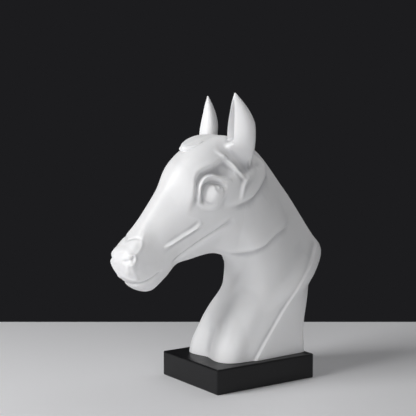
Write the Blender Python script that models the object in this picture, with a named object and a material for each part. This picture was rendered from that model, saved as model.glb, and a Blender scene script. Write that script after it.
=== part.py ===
"""Horse head ornament: a bust of a horse's head and neck, cast in one piece, on a rectangular plinth.

The horse looks along -X, its left side is -Y and +Z is up. The origin is the centre of the plinth's
underside. The bust is drawn on a grid of 300 squares to its height, so the table of sections and the
carving below are shares of BUST_HEIGHT. Its surface is lofted through sections that run from the top
line (nose, forehead, poll, crest, withers, back) to the under line (chin, jaw, throat, breast), and the
carving is then raised or sunk along the surface's normals beside lines drawn in side view.
"""
import math

import bmesh
import bpy
import numpy as np

# Driving dimensions, in metres
BUST_HEIGHT = 0.2997
PLINTH_HEIGHT = 0.0284
FRONT_LEDGE = 0.0203
REAR_LEDGE = 0.0008
SIDE_LEDGE = 0.0078
PLINTH_EDGE = 0.0016
PLINTH_EDGE_STEPS = 3
SEAT_GAP = 0.0003

# The drawing grid: its squares to the bust's height
GRID_SQUARES = 300.0

# Fineness of the carved surface and of the finished solid. The softness, in grid squares, is the least
# half width of a carved line, so that the mesh can carry it
ALONG = 230
AROUND = 80
EAR_RINGS = 26
EAR_POINTS = 40
LOCK_RINGS = 24
LOCK_POINTS = 24
FINISHED_TRIANGLES = 9400
LINE_SOFTNESS = 1.4

# Sections from the muzzle to the foot: place of the top line (x, z) and of the under line (x, z), half
# widths at five heights from top to under, and how square the section is above and below its middle
SECTIONS = {
    "mouth": (-158.5, 113.0, -158.5, 113.0, 0, 0, 0, 0, 0, 3.0, 3.0),
    "muzzle front": (-161.0, 121.5, -155.5, 105.0, 13, 15, 15, 13, 11, 3.0, 3.0),
    "lips": (-159.5, 129.5, -149.0, 97.0, 18, 20, 19.5, 17, 14, 3.6, 3.0),
    "nostrils": (-152.5, 138.0, -140.5, 89.0, 20.5, 21.5, 21.5, 19, 16, 3.6, 3.0),
    "chin": (-144.0, 146.5, -127.0, 85.0, 19.5, 21.5, 22, 19.5, 15.5, 4.0, 3.0),
    "chin groove": (-129.5, 164.0, -104.0, 97.0, 14.5, 20, 22.5, 20, 14, 4.0, 2.8),
    "bars": (-118.0, 179.0, -89.5, 111.0, 14, 21.5, 24.5, 22, 15, 4.0, 3.0),
    "nose": (-106.0, 195.5, -71.0, 115.5, 15, 25, 28.5, 25, 17, 4.0, 3.0),
    "eyes": (-88.0, 223.5, -43.0, 120.0, 25, 34.5, 35, 31.5, 21, 3.6, 3.0),
    "forehead": (-55.0, 246.5, -20.5, 115.0, 32, 37.5, 37, 34.5, 23, 2.8, 2.8),
    "poll": (-32.0, 252.5, -16.0, 111.5, 30, 34.5, 36, 34.5, 24, 2.6, 2.6),
    "nape": (12.0, 241.0, -10.0, 97.0, 14, 27, 33, 34, 27, 2.2, 2.3),
    "neck": (63.5, 190.0, -13.5, 78.0, 9, 23, 31, 34, 29, 2.1, 2.2),
    "shoulder": (109.5, 131.0, -25.0, 56.0, 10, 27, 38.5, 40.5, 35, 2.1, 2.4),
    "withers": (121.0, 116.0, -31.0, 46.0, 14, 34, 43.5, 43.5, 38, 2.4, 2.8),
    "back": (89.0, 76.0, -36.5, 28.0, 34, 43.5, 45.5, 45, 41, 3.4, 3.6),
    "waist": (67.5, 27.0, -41.0, 10.0, 43.5, 44.9, 45.4, 45, 43, 11.0, 4.6),
    "foot": (67.5, 0.0, -43.0, 0.0, 44.2, 45.3, 45.6, 45.3, 43, 14.0, 5.0),
}
WIDTH_HEIGHTS = np.array([0.0, 0.25, 0.5, 0.75, 1.0])


def spline(knots, rows, at):
    """Smooth curve through rows: a cubic on each span, its slope at a row weighted by the spacing."""
    step = np.diff(knots)[:, None]
    slope = np.diff(rows, axis=0) / step
    tangent = np.empty_like(rows)
    tangent[0] = slope[0]
    tangent[-1] = slope[-1]
    tangent[1:-1] = (slope[:-1] * step[1:] + slope[1:] * step[:-1]) / (step[:-1] + step[1:])
    span = np.clip(np.searchsorted(knots, at, side="right") - 1, 0, len(knots) - 2)
    width = step[span]
    t = (at - knots[span])[:, None] / width
    start = (2 * t ** 3 - 3 * t ** 2 + 1) * rows[span] + (t ** 3 - 2 * t ** 2 + t) * width * tangent[span]
    end = (3 * t ** 2 - 2 * t ** 3) * rows[span + 1] + (t ** 3 - t ** 2) * width * tangent[span + 1]
    return start + end


def run_of(points):
    """Distance travelled at each point of a row of points."""
    return np.concatenate([[0.0], np.cumsum(np.linalg.norm(np.diff(points, axis=0), axis=1))])


def plain_bust(along, around):
    """The plain bust as a grid (along, 2 * around, 3): half of each section is a squared oval whose half
    width follows the table, sampled evenly along its length, and the other half is its mirror."""
    rows = np.array(list(SECTIONS.values()), dtype=float)
    upper_middle = rows[:, 0:2] * 0.75 + rows[:, 2:4] * 0.25
    travel = run_of(upper_middle)
    row = spline(travel, rows, np.linspace(0.0, travel[-1], along))
    turn = np.linspace(0.0, math.pi, 361)
    down = (1 - np.cos(turn)) / 2
    half = spline(WIDTH_HEIGHTS, np.maximum(row[:, 4:9], 0.0).T, down).T
    square = np.where(down[None, :] < 0.5, row[:, 9:10], row[:, 10:11])
    rounding = (1 - np.abs(1 - 2 * down[None, :]) ** square) ** (1 / square)
    y = half * rounding
    top = row[:, None, 0:2]
    under = row[:, None, 2:4]
    side = top + (under - top) * down[None, :, None]
    dense = np.stack([side[:, :, 0], y, side[:, :, 1]], axis=2)
    length = np.linalg.norm(np.diff(dense, axis=1), axis=2)
    length = np.concatenate([np.zeros((along, 1)), np.cumsum(length + 1e-9, axis=1)], axis=1)
    even = np.empty((along, around + 1, 3))
    for i in range(along):
        places = np.linspace(0.0, length[i, -1], around + 1)
        for axis in range(3):
            even[i, :, axis] = np.interp(places, length[i], dense[i, :, axis])
    mirror = even[:, -2:0:-1] * np.array([1.0, -1.0, 1.0])
    return np.concatenate([even, mirror], axis=1)


def normals_of(grid):
    """Unit normals of a grid of rings, pointing out, from the slopes along and around it."""
    along = np.gradient(grid, axis=0)
    around = np.roll(grid, -1, axis=1) - np.roll(grid, 1, axis=1)
    normal = np.cross(along, around)
    size = np.linalg.norm(normal, axis=2, keepdims=True)
    normal = normal / np.maximum(size, 1e-9)
    normal[0] = (-1.0, 0.0, 0.0)
    normal[-1, :, 2] = 0.0
    return normal


def beside(x, z, line):
    """Nearest place on a drawn line for every surface point in side view. The line's rows are x, z,
    width and height. Gives the distance, the signed distance (positive on the left of the line as it
    runs), and the width and height there."""
    rows = np.array(line, dtype=float)
    knots = run_of(rows[:, :2])
    fine = spline(knots, rows, np.linspace(0.0, knots[-1], 5 * len(rows)))
    fine[:, 2] = np.hypot(fine[:, 2], LINE_SOFTNESS)
    distance = np.full(x.shape, np.inf)
    signed = np.zeros(x.shape)
    width = np.ones(x.shape)
    height = np.zeros(x.shape)
    for a, b in zip(fine[:-1], fine[1:]):
        dx, dz = b[:2] - a[:2]
        size = dx * dx + dz * dz
        t = np.clip(((x - a[0]) * dx + (z - a[1]) * dz) / size, 0.0, 1.0)
        gap = np.hypot(x - a[0] - t * dx, z - a[1] - t * dz)
        closer = gap < distance
        cross = dx * (z - a[1]) - dz * (x - a[0])
        distance = np.where(closer, gap, distance)
        signed = np.where(closer, np.sign(cross) * gap, signed)
        width = np.where(closer, a[2] + t * (b[2] - a[2]), width)
        height = np.where(closer, a[3] + t * (b[3] - a[3]), height)
    return distance, signed, width, height


def ridge(x, z, line, left=1.0, right=1.0):
    """A raised line, round in section, with its width times left on its left side and times right on
    its right; a negative height sinks a groove."""
    distance, signed, width, height = beside(x, z, line)
    width = width * np.where(signed > 0, left, right)
    return height * np.exp(-(distance / width) ** 2)


def shelf(x, z, line, fade, power=2):
    """A step: the surface on the left of the line stands proud by the height and sinks back over fade,
    level at first where power is high."""
    _, signed, width, height = beside(x, z, line)
    return height * 0.5 * (1 + np.tanh(signed / width)) * np.exp(-(np.maximum(signed, 0) / fade) ** power)


def stroke(x, y, z, path):
    """A raised line that follows a path through space: height times exp(-(distance / width) squared).
    The path's rows are x, y, z, width and height, for the side where y is positive."""
    rows = np.array(path, dtype=float)
    knots = run_of(rows[:, :3])
    fine = spline(knots, rows, np.linspace(0.0, knots[-1], 5 * len(rows)))
    height = np.zeros(x.shape)
    nearest = np.full(x.shape, np.inf)
    for a, b in zip(fine[:-1], fine[1:]):
        step = b[:3] - a[:3]
        t = ((x - a[0]) * step[0] + (y - a[1]) * step[1] + (z - a[2]) * step[2]) / (step @ step)
        t = np.clip(t, 0.0, 1.0)
        gap = np.sqrt((x - a[0] - t * step[0]) ** 2 + (y - a[1] - t * step[1]) ** 2
                      + (z - a[2] - t * step[2]) ** 2)
        here = (a[4] + t * (b[4] - a[4])) * np.exp(-(gap / np.maximum(a[3] + t * (b[3] - a[3]), 0.4)) ** 2)
        height = np.where(gap < nearest, here, height)
        nearest = np.minimum(nearest, gap)
    return height


def dome(x, y, z, centre, radii, height):
    """A soft swelling round a place on the surface: height times (1 - r squared) squared."""
    offsets = [(x - centre[0]) / radii[0], (y - centre[1]) / radii[1], (z - centre[2]) / radii[2]]
    reach = sum(offset ** 2 for offset in offsets)
    return height * np.clip(1 - reach, 0.0, 1.0) ** 2


# Lines of the carving in side view: x, z, width, height, on the drawing grid
BROW = [(-88, 168, 3.0, 0), (-84.5, 178, 2.2, 1.8), (-82, 187, 1.5, 4.4), (-80.5, 198, 1.2, 6.0),
        (-78, 208.5, 1.1, 7.0), (-72.5, 215.6, 1.1, 7.2), (-65, 219, 1.1, 7.2), (-57, 221.6, 1.1, 7.0), (-47.5, 224.8, 1.1, 6.4),
        (-41, 227.5, 1.2, 5.0), (-36, 229.5, 1.6, 1.6), (-33, 230.5, 2.2, 0)]
UPPER_LID = [(-76.5, 182, 2.2, 1.0), (-76, 192, 2.6, 4.0), (-74, 201.5, 2.8, 5.6), (-67.5, 209, 2.6, 6.2),
             (-58.5, 210.6, 2.2, 5.6), (-49.5, 208.2, 1.6, 4.0), (-41, 206, 1.4, 2.4), (-34, 204.5, 1.4, 0)]
LID_GAP = [(-71.0, 182, 1.6, -1.2), (-70.6, 193.5, 2.1, -5.4), (-67.8, 200.3, 2.1, -6.6), (-61.5, 203.2, 1.9, -6.6),
           (-53, 202.0, 1.6, -5.2), (-46.5, 199.2, 1.3, -2.4), (-42, 197, 1.2, 0)]
LOWER_LID = [(-77, 181, 2.4, 0.6), (-70, 177.4, 2.6, 1.1), (-60, 177.0, 2.8, 1.3), (-51, 181.5, 2.4, 1.1),
             (-43, 194, 1.8, 0.3)]
EYE = (-58.0, 191)
EYE_TILT = math.radians(30)
EYE_RADII = (12.0, 10.4)
EYE_BULGE = 3.4
TEMPLE = [(-50, 238.5, 2.6, 0), (-45.5, 234, 1.9, 1.8), (-38.9, 228.6, 1.7, 3.2), (-30.6, 219.8, 1.7, 3.4),
          (-21, 209.5, 1.9, 2.8), (-14, 202, 2.6, 0)]
FACE_CREST = [(-71, 159.0, 2.4, 0), (-76, 156, 1.3, 2.4), (-94, 145.3, 1.1, 2.8), (-110, 136.3, 1.1, 2.4),
              (-115, 133.6, 1.4, 0)]
JAW_GROOVE = [(-32, 162, 3.4, 0), (-42, 156, 2.2, -2.2), (-52, 149.4, 1.9, -3.6), (-69, 138.6, 1.9, -4.2),
              (-80.5, 130.5, 1.9, -4.0), (-92, 122.6, 2.0, -2.8), (-103, 115.5, 2.6, 0)]
JOWL = [(62, 151, 2.0, 0), (51, 146, 1.4, 2.0), (31, 139, 1.1, 3.4), (12.5, 128.3, 1.1, 4.0), (-5, 122.5, 1.2, 3.6),
        (-20, 121, 1.4, 2.8), (-36, 125, 2.0, 1.2), (-48, 130, 2.5, 0)]
PLATE = [(2, 232, 2.0, 0), (17, 228, 1.6, 3.6), (26, 217, 1.3, 6.4), (22, 206, 1.3, 6.8), (10, 196, 1.4, 6.4),
         (-7, 184.5, 1.6, 5.4), (-26, 179.0, 2.0, 3.4), (-46, 176, 3.0, 0)]
PLATE_FRONT = [(13, 228, 1.6, 0), (8.6, 221.8, 1.8, 1.2), (4, 215.5, 2.2, 1.8), (-9, 206.6, 2.4, 2.4),
               (-19, 198.5, 2.4, 2.6), (-23, 188.5, 2.6, 1.6), (-25, 178, 3, 0)]
SHOULDER_LINE = [(119, 124, 1.6, 0), (107, 117, 1.1, 1.6), (87, 103, 0.9, 2.2), (55, 78, 0.9, 2.4),
                 (30, 52, 0.9, 2.4), (10, 26, 0.9, 2.2), (-9, 0, 1.0, 2.0)]
SHOULDER_HOLLOW = [(86, 128, 12, 0), (56, 104, 13, -1.8), (22, 72, 13, -2.8), (-4, 40, 11, -2.2), (-22, 8, 9, -0.8)]
MOUTH_SIDE = [(-150.5, 95.6, 1.2, 0), (-146.5, 96.2, 1.2, -2.4), (-140, 97.4, 1.1, -3.2), (-131, 100.4, 1.1, -3.0),
              (-122, 105.4, 1.3, -1.8), (-115, 109.5, 1.8, 0)]
# How far the steps fade, how level the eye socket and the plate are, how deep the temple lies and how high the
# bead on the shoulder line stands, as shares of the line's height
SOCKET_FADE = 21.0
SOCKET_LEVEL = 4
TEMPLE_FADE = 12.0
TEMPLE_DEPTH = 0.4
JOWL_FADE = 26.0
PLATE_FADE = 20.0
PLATE_LEVEL = 1.2
SHOULDER_FADE = 24.0
SHOULDER_BEAD = 0.4
# Swellings of the breast: centre, radii and height
BREAST = [((-44, 28, 8), (34, 30, 60), 6.0), ((-22, 30, 52), (34, 24, 34), 2.6)]

# Strokes of the carving in space, on the side where y is positive: x, y, z, width, height
NOSTRIL = [(-160.5, 11.0, 121.8, 1.1, -1.0), (-158.6, 14.0, 122.2, 1.6, -4.4), (-156.0, 17.0, 122.8, 1.9, -6.6),
           (-153.6, 18.8, 124.0, 1.7, -5.6), (-152.0, 19.6, 127.2, 1.1, -1.6)]
NOSTRIL_RIM = [(-157.5, 15.5, 126.6, 1.8, 0.3), (-154.5, 18.5, 128.6, 1.7, 0.9), (-150.6, 20.4, 127.6, 1.7, 1.3),
               (-150.4, 21.0, 123.2, 1.8, 1.3), (-153.4, 20.4, 119.0, 1.9, 1.2), (-156.8, 18.0, 117.4, 2.0, 0.5)]
NOSE_EDGE = [(-133, 15.5, 153.5, 2.2, 0), (-139.5, 17.5, 144.6, 2.0, 0.7), (-141.6, 19.0, 137.6, 1.9, 0.8),
             (-146.2, 19.8, 131.8, 1.7, 0.8), (-151.0, 19.4, 128.0, 1.5, 0.6)]
NOSE_CREASE = [(-149.5, 0, 143.6, 2.2, -1.0), (-146.5, 5, 145.0, 2.0, -1.0), (-143.6, 11, 145.6, 2.0, -0.9),
               (-140.5, 16, 144.6, 1.8, -0.5), (-138.0, 19, 142.5, 1.8, 0)]
FRONT_EDGE = [(-153.6, 20.0, 120.5, 2.4, 0), (-153.6, 20.6, 113.5, 2.3, 0.6), (-151.0, 20.4, 106.5, 2.3, 0.8),
              (-147.0, 19.8, 101.5, 2.2, 0.7), (-143.5, 19.2, 98.5, 2.0, 0.3)]
MOUTH_FRONT = [(-153.0, 0, 98.0, 1.2, -2.0), (-151.4, 8, 97.6, 1.2, -2.0), (-148.0, 14.0, 97.0, 1.2, -1.8),
               (-145.5, 17.0, 96.6, 1.2, 0)]
LIP_BAND = [(-156.5, 0, 102.0, 2.4, 1.0), (-154.6, 9, 101.6, 2.4, 1.2), (-149.6, 16.5, 101.0, 2.2, 1.2),
            (-143.5, 19.5, 102.0, 2.4, 0.3)]


def eyeball(x, z):
    """A lens that bulges between the lids: a half dome over an oval tilted up towards the rear."""
    along = (x - EYE[0]) * math.cos(EYE_TILT) + (z - EYE[1]) * math.sin(EYE_TILT)
    across = (z - EYE[1]) * math.cos(EYE_TILT) - (x - EYE[0]) * math.sin(EYE_TILT)
    r = (along / EYE_RADII[0]) ** 2 + (across / EYE_RADII[1]) ** 2
    return EYE_BULGE * np.clip(1 - r, 0.0, 1.0) ** 0.7


def carving(x, y, z):
    """Height of the carving above the plain bust at each point, both sides alike."""
    side = np.abs(y)
    height = -shelf(x, z, BROW[::-1], SOCKET_FADE, SOCKET_LEVEL)
    height += eyeball(x, z)
    for line in (UPPER_LID, LID_GAP, LOWER_LID, MOUTH_SIDE):
        height += ridge(x, z, line)
    height += ridge(x, z, FACE_CREST, 0.8, 1.7)
    height += ridge(x, z, JAW_GROOVE, 1.5, 0.8)
    for path in (NOSTRIL, NOSTRIL_RIM, NOSE_EDGE, NOSE_CREASE, FRONT_EDGE, MOUTH_FRONT, LIP_BAND):
        height += stroke(x, side, z, path)
    height += ridge(x, z, TEMPLE, 2.0, 1.0)
    height -= shelf(x, z, TEMPLE, TEMPLE_FADE) * TEMPLE_DEPTH
    height += shelf(x, z, JOWL[::-1], JOWL_FADE)
    height += ridge(x, z, PLATE_FRONT)
    height += shelf(x, z, PLATE[::-1], PLATE_FADE, PLATE_LEVEL)
    height += ridge(x, z, SHOULDER_LINE) * SHOULDER_BEAD
    height += shelf(x, z, SHOULDER_LINE, SHOULDER_FADE)
    height += ridge(x, z, SHOULDER_HOLLOW)
    for centre, radii, swelling in BREAST:
        height += dome(x, side, z, centre, radii, swelling)
    return height


def bust_grid(along, around):
    """The carved bust as a grid of rings, on the drawing grid."""
    grid = plain_bust(along, around)
    height = carving(grid[:, :, 0], grid[:, :, 1], grid[:, :, 2])
    carved = grid + normals_of(grid) * height[:, :, None]
    carved[0] = carved[0].mean(axis=0)
    carved[-1, :, 2] = grid[-1, :, 2]
    return carved


# Ears: place of the centre line (x, y, z), half width across the opening and half depth, base to tip.
# The hollow is a share of the half depth; it starts, rises and falls off at shares of the ear's length
EAR = [(-8, 17, 218, 8, 9), (-12.4, 22, 232, 11, 14), (-17.9, 26.5, 244, 13.5, 17.7), (-18.8, 28, 256, 14.4, 17.7),
       (-19.0, 28.5, 266, 13.6, 16.9), (-20.7, 28.5, 280, 9.8, 12.3), (-23.2, 28.2, 291, 5.2, 6.8),
       (-25.2, 28, 300, 0.8, 0.8)]
LEFT_EAR_TURN = math.radians(-12)
RIGHT_EAR_TURN = math.radians(41)
LEFT_EAR_LEAN = (0.0, 0.0, 0.0)
RIGHT_EAR_LEAN = (-12.2, 2.0, -3.6)
LEFT_EAR_DEPTH = 1.0
RIGHT_EAR_DEPTH = 0.69
EAR_TAPER = 0.3
EAR_HOLLOW = 1.5
HOLLOW_START = 0.33
HOLLOW_RISE = 0.12
HOLLOW_FALL = 0.2
EAR_OPENING = math.radians(50)
EAR_EDGE = 0.55

# Forelock: centre line (x, y, z), half width and half thickness, from the poll to the tip
FORELOCK = [(-12, 2, 243.5, 7, 4), (-28, 2, 247.4, 10, 5), (-42, 2, 247, 12.5, 5.8), (-52, 2, 245, 14, 6.2),
            (-60.5, 2.5, 241.8, 14.2, 6.4), (-67.5, 3.5, 239.6, 11.8, 5.8), (-73, 5, 238.6, 7.5, 4.4),
            (-76.5, 6.5, 238.4, 1.2, 1.0)]
LOCK_ROLL = math.radians(15)
LOCK_SQUARE = 0.8
SCOOP = ((-53.5, -12.5, 243.0), (7.5, 8.0, 6.0), -6.0)


def ear_grid(side, turn, lean, deepness):
    """One ear as a grid of rings: an oval that narrows towards its front, where it is pressed in to a
    hollow that fades at base and tip. side is -1 for the left ear and 1 for the right, turn swings its
    opening outwards from -x, and lean moves its base and its tip along x and its tip along z."""
    rows = np.array(EAR, dtype=float)
    share = (rows[:, 2] - rows[0, 2]) / (rows[-1, 2] - rows[0, 2])
    rows[:, 0] += lean[0] + (lean[1] - lean[0]) * share
    rows[:, 2] += lean[2] * share
    rows[:, 4] *= deepness
    knots = run_of(rows[:, :3])
    at = np.linspace(0.0, knots[-1], EAR_RINGS)
    row = spline(knots, rows, at)
    share = at / knots[-1]
    hollow = EAR_HOLLOW * np.clip((share - HOLLOW_START) / HOLLOW_RISE, 0, 1)
    hollow *= np.clip((1.0 - share) / HOLLOW_FALL, 0, 1)
    angle = np.linspace(0.0, 2 * math.pi, EAR_POINTS, endpoint=False)
    across = (np.sin(angle) * (1 - EAR_TAPER * np.cos(angle)))[None, :] * row[:, 3:4]
    from_front = np.abs((angle + math.pi) % (2 * math.pi) - math.pi)
    pressed = np.clip(1 - (from_front / EAR_OPENING) ** 2, 0.0, 1.0) ** EAR_EDGE
    depth = (np.cos(angle)[None, :] - hollow[:, None] * pressed[None, :]) * row[:, 4:5]
    ahead = np.array([-math.cos(turn), side * math.sin(turn)])
    sideways = np.array([side * math.sin(turn), math.cos(turn)])
    x = row[:, 0:1] + ahead[0] * depth + sideways[0] * across
    y = side * row[:, 1:2] + ahead[1] * depth + sideways[1] * across
    z = np.repeat(row[:, 2:3], EAR_POINTS, axis=1)
    return np.stack([x, y, z], axis=2)


def lock_grid():
    """The forelock as a grid of rings square to its centre line: flat ovals rolled down towards the left,
    with a scoop under its curl, ending in a point."""
    rows = np.array(FORELOCK, dtype=float)
    knots = run_of(rows[:, :3])
    row = spline(knots, rows, np.linspace(0.0, knots[-1], LOCK_RINGS))
    forward = np.gradient(row[:, :3], axis=0)
    forward /= np.linalg.norm(forward, axis=1, keepdims=True)
    level = np.cross(forward, (0.0, 0.0, 1.0))
    level /= np.linalg.norm(level, axis=1, keepdims=True)
    up = np.cross(level, forward)
    across = level * math.cos(LOCK_ROLL) + up * math.sin(LOCK_ROLL)
    up = up * math.cos(LOCK_ROLL) - level * math.sin(LOCK_ROLL)
    angle = np.linspace(0.0, 2 * math.pi, LOCK_POINTS, endpoint=False)
    level_share = np.sign(np.cos(angle)) * np.abs(np.cos(angle)) ** LOCK_SQUARE
    tall_share = np.sign(np.sin(angle)) * np.abs(np.sin(angle)) ** LOCK_SQUARE
    wide = level_share[None, :, None] * row[:, None, 3:4] * across[:, None, :]
    tall = tall_share[None, :, None] * row[:, None, 4:5] * up[:, None, :]
    grid = row[:, None, :3] + wide + tall
    centre, radii, depth = SCOOP
    sink = dome(grid[:, :, 0], grid[:, :, 1], grid[:, :, 2], centre, radii, depth)
    outward = wide + tall
    outward /= np.maximum(np.linalg.norm(outward, axis=2, keepdims=True), 1e-6)
    return grid + outward * sink[:, :, None]


def closed_mesh(name, grid, scale, shift, pole_at_start):
    """A closed mesh from a grid of rings: quads between rings, a pole or flat cap at the start, a cap at
    the end."""
    rings, points = grid.shape[:2]
    vertices = grid.reshape(-1, 3) * scale + shift
    faces = []
    first = 0
    if pole_at_start:
        vertices = np.concatenate([vertices[:1], vertices[points:]])
        first = 1
        faces += [(0, 1 + (j + 1) % points, 1 + j) for j in range(points)]
        rings -= 1
    else:
        faces.append(tuple(range(points)))
    for i in range(rings - 1):
        low = first + i * points
        high = low + points
        faces += [(low + j, low + (j + 1) % points, high + (j + 1) % points, high + j) for j in range(points)]
    last = first + (rings - 1) * points
    faces.append(tuple(reversed(range(last, last + points))))
    mesh = bpy.data.meshes.new(name)
    mesh.from_pydata(vertices.tolist(), [], faces)
    mesh.validate()
    return mesh


def placed(name, mesh):
    """An object in the scene for a mesh, shaded smooth."""
    thing = bpy.data.objects.new(name, mesh)
    bpy.context.scene.collection.objects.link(thing)
    mesh.shade_smooth()
    return thing


def finish(name, colour, roughness):
    """A plain paint or resin finish."""
    material = bpy.data.materials.new(name)
    material.use_nodes = True
    shader = material.node_tree.nodes["Principled BSDF"]
    shader.inputs["Base Color"].default_value = (*colour, 1.0)
    shader.inputs["Roughness"].default_value = roughness
    shader.inputs["Metallic"].default_value = 0.0
    return material


def facing_out(mesh):
    """Turn a mesh's faces outwards."""
    work = bmesh.new()
    work.from_mesh(mesh)
    bmesh.ops.recalc_face_normals(work, faces=work.faces)
    work.to_mesh(mesh)
    work.free()


def joined(body, addition):
    """Fuse a shape into the body and keep the shape itself as a hidden guide."""
    addition.hide_render = True
    addition.display_type = "WIRE"
    union = body.modifiers.new("join " + addition.name, "BOOLEAN")
    union.operation = "UNION"
    union.object = addition


def make_bust(scale, shift):
    """Head and neck with ears and forelock as one solid, thinned where the surface is plain."""
    body_grid = bust_grid(ALONG, AROUND)
    body = placed("horse_head", closed_mesh("horse_head", body_grid, scale, shift, True))
    shapes = {
        "ear_left": ear_grid(-1, LEFT_EAR_TURN, LEFT_EAR_LEAN, LEFT_EAR_DEPTH),
        "ear_right": ear_grid(1, RIGHT_EAR_TURN, RIGHT_EAR_LEAN, RIGHT_EAR_DEPTH),
        "forelock": lock_grid(),
    }
    count = len(body_grid) * body_grid.shape[1] * 2
    for name, grid in shapes.items():
        guide = placed(name, closed_mesh(name, grid, scale, shift, False))
        facing_out(guide.data)
        joined(body, guide)
        count += grid.shape[0] * grid.shape[1] * 2
    facing_out(body.data)
    thin = body.modifiers.new("plain stretches", "DECIMATE")
    thin.ratio = FINISHED_TRIANGLES / count
    body.data.materials.append(finish("white_cast_resin", (0.86, 0.86, 0.85), 0.5))
    return body, body_grid[-1]


def make_plinth(length, width):
    """A rectangular plinth with slightly rounded edges."""
    mesh = bpy.data.meshes.new("plinth")
    work = bmesh.new()
    bmesh.ops.create_cube(work, size=1.0)
    bmesh.ops.scale(work, vec=(length, width, PLINTH_HEIGHT), verts=work.verts)
    bmesh.ops.translate(work, vec=(0.0, 0.0, PLINTH_HEIGHT / 2), verts=work.verts)
    work.to_mesh(mesh)
    work.free()
    plinth = placed("plinth", mesh)
    mesh.shade_flat()
    edge = plinth.modifiers.new("rounded edges", "BEVEL")
    edge.width = PLINTH_EDGE
    edge.segments = PLINTH_EDGE_STEPS
    mesh.materials.append(finish("black_satin_paint", (0.012, 0.012, 0.012), 0.3))
    return plinth


def main():
    for thing in list(bpy.data.objects):
        bpy.data.objects.remove(thing, do_unlink=True)
    scale = BUST_HEIGHT / GRID_SQUARES
    foot = bust_grid(3, 60)[-1] * scale
    front = foot[:, 0].min() - FRONT_LEDGE
    rear = foot[:, 0].max() + REAR_LEDGE
    width = 2 * (foot[:, 1].max() + SIDE_LEDGE)
    shift = np.array([-(front + rear) / 2, 0.0, PLINTH_HEIGHT + SEAT_GAP])
    make_bust(scale, shift)
    make_plinth(rear - front, width)


main()
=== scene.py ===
"""Looks of the horse head ornament: a white cast resin bust on a black painted plinth, on a pale table.

The frame gives the place and size of the two solids. The bust is modelled again here with its fine
carving and replaces its solid; the plinth keeps its solid and gets its paint. The bust is drawn on a
grid of 300 squares to its height: x runs from muzzle to back and z up from the foot, and the horse
looks along -x with its left side towards -y.
"""
import math

import bmesh
import bpy
import numpy as np
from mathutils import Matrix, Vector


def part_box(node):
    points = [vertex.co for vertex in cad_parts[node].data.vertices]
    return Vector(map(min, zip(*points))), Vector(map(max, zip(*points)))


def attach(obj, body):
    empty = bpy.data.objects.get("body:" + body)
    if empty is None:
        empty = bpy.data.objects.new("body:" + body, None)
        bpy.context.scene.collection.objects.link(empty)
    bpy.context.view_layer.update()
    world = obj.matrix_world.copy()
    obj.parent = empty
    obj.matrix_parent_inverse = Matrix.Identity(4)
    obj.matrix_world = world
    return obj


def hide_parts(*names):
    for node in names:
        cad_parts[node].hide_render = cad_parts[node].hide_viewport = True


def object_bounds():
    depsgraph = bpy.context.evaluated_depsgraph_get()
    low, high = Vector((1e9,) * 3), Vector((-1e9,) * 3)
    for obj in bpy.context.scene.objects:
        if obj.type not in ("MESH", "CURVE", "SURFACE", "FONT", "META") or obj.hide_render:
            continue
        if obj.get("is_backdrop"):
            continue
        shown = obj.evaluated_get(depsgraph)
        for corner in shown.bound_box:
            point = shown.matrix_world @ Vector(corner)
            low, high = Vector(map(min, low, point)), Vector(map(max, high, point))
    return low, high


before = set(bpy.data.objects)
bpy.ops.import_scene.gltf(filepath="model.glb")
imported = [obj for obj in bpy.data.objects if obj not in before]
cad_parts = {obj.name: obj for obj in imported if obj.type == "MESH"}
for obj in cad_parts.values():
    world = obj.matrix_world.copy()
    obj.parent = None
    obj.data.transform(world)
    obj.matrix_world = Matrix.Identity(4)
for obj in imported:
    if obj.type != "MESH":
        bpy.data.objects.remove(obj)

bl_info = {
    "name": "Horse head ornament",
    "version": (1, 0, 0),
    "blender": (4, 5, 0),
    "location": "View3D > Sidebar > Ornament",
    "description": "Builds a cast horse head bust on its plinth and a plain studio round it",
    "category": "Add Mesh",
}

# One millimetre, in metres
MILLIMETRE = 0.001

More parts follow.
